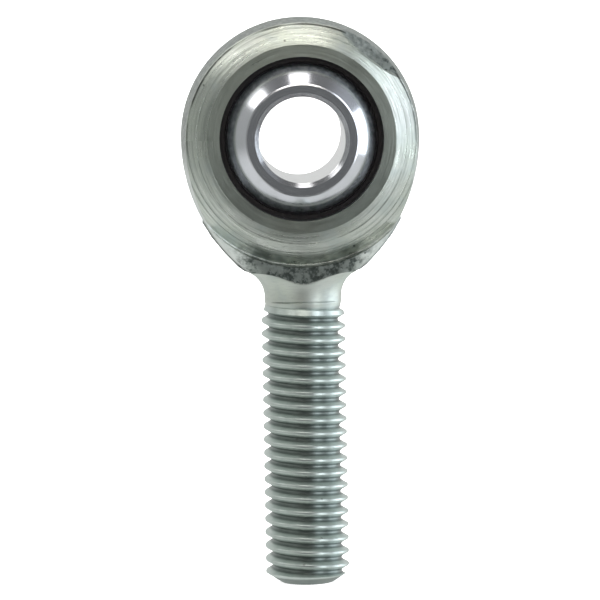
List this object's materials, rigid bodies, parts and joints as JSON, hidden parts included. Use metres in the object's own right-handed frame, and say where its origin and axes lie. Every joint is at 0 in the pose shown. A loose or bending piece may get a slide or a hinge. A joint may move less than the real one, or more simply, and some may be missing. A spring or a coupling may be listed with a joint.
{
  "type": "rod end bearing",
  "caption": "Male rod end with a left-hand threaded shank and a self-lubricating spherical plain bearing in its eye; the ball turns and tilts on a liner.",
  "frame": {"origin": "centre of the ball, on the axis of its bore", "axes": "+Z along the axis of the shank towards the top of the eye, +Y along the bore from the front of the eye to its back, +X to the right seen from the front"},
  "size_m": [0.0222, 0.012, 0.0531],
  "materials": {
    "housing_steel": "zinc plated and chromated forged steel, turned faces, rolled thread",
    "race_steel": "black phosphated bearing steel",
    "liner": "woven self-lubricating liner, dark resin",
    "ball_steel": "hard chromed and polished bearing steel, ground flats"
  },
  "bodies": {
    "housing": {"rod_end_body": "housing_steel", "outer_race": "race_steel"},
    "liner": {"ptfe_liner": "liner"},
    "ball": {"ball": "ball_steel"}
  },
  "joints": [
    {"name": "ball_turn", "type": "hinge", "parent": "housing", "child": "liner", "pos_m": [0, 0, 0], "axis": [0, 1, 0], "continuous": true},
    {"name": "ball_tilt", "type": "hinge", "parent": "liner", "child": "ball", "pos_m": [0, 0, 0], "axis": [1, 0, 0], "range_deg": [-13, 13]}
  ]
}
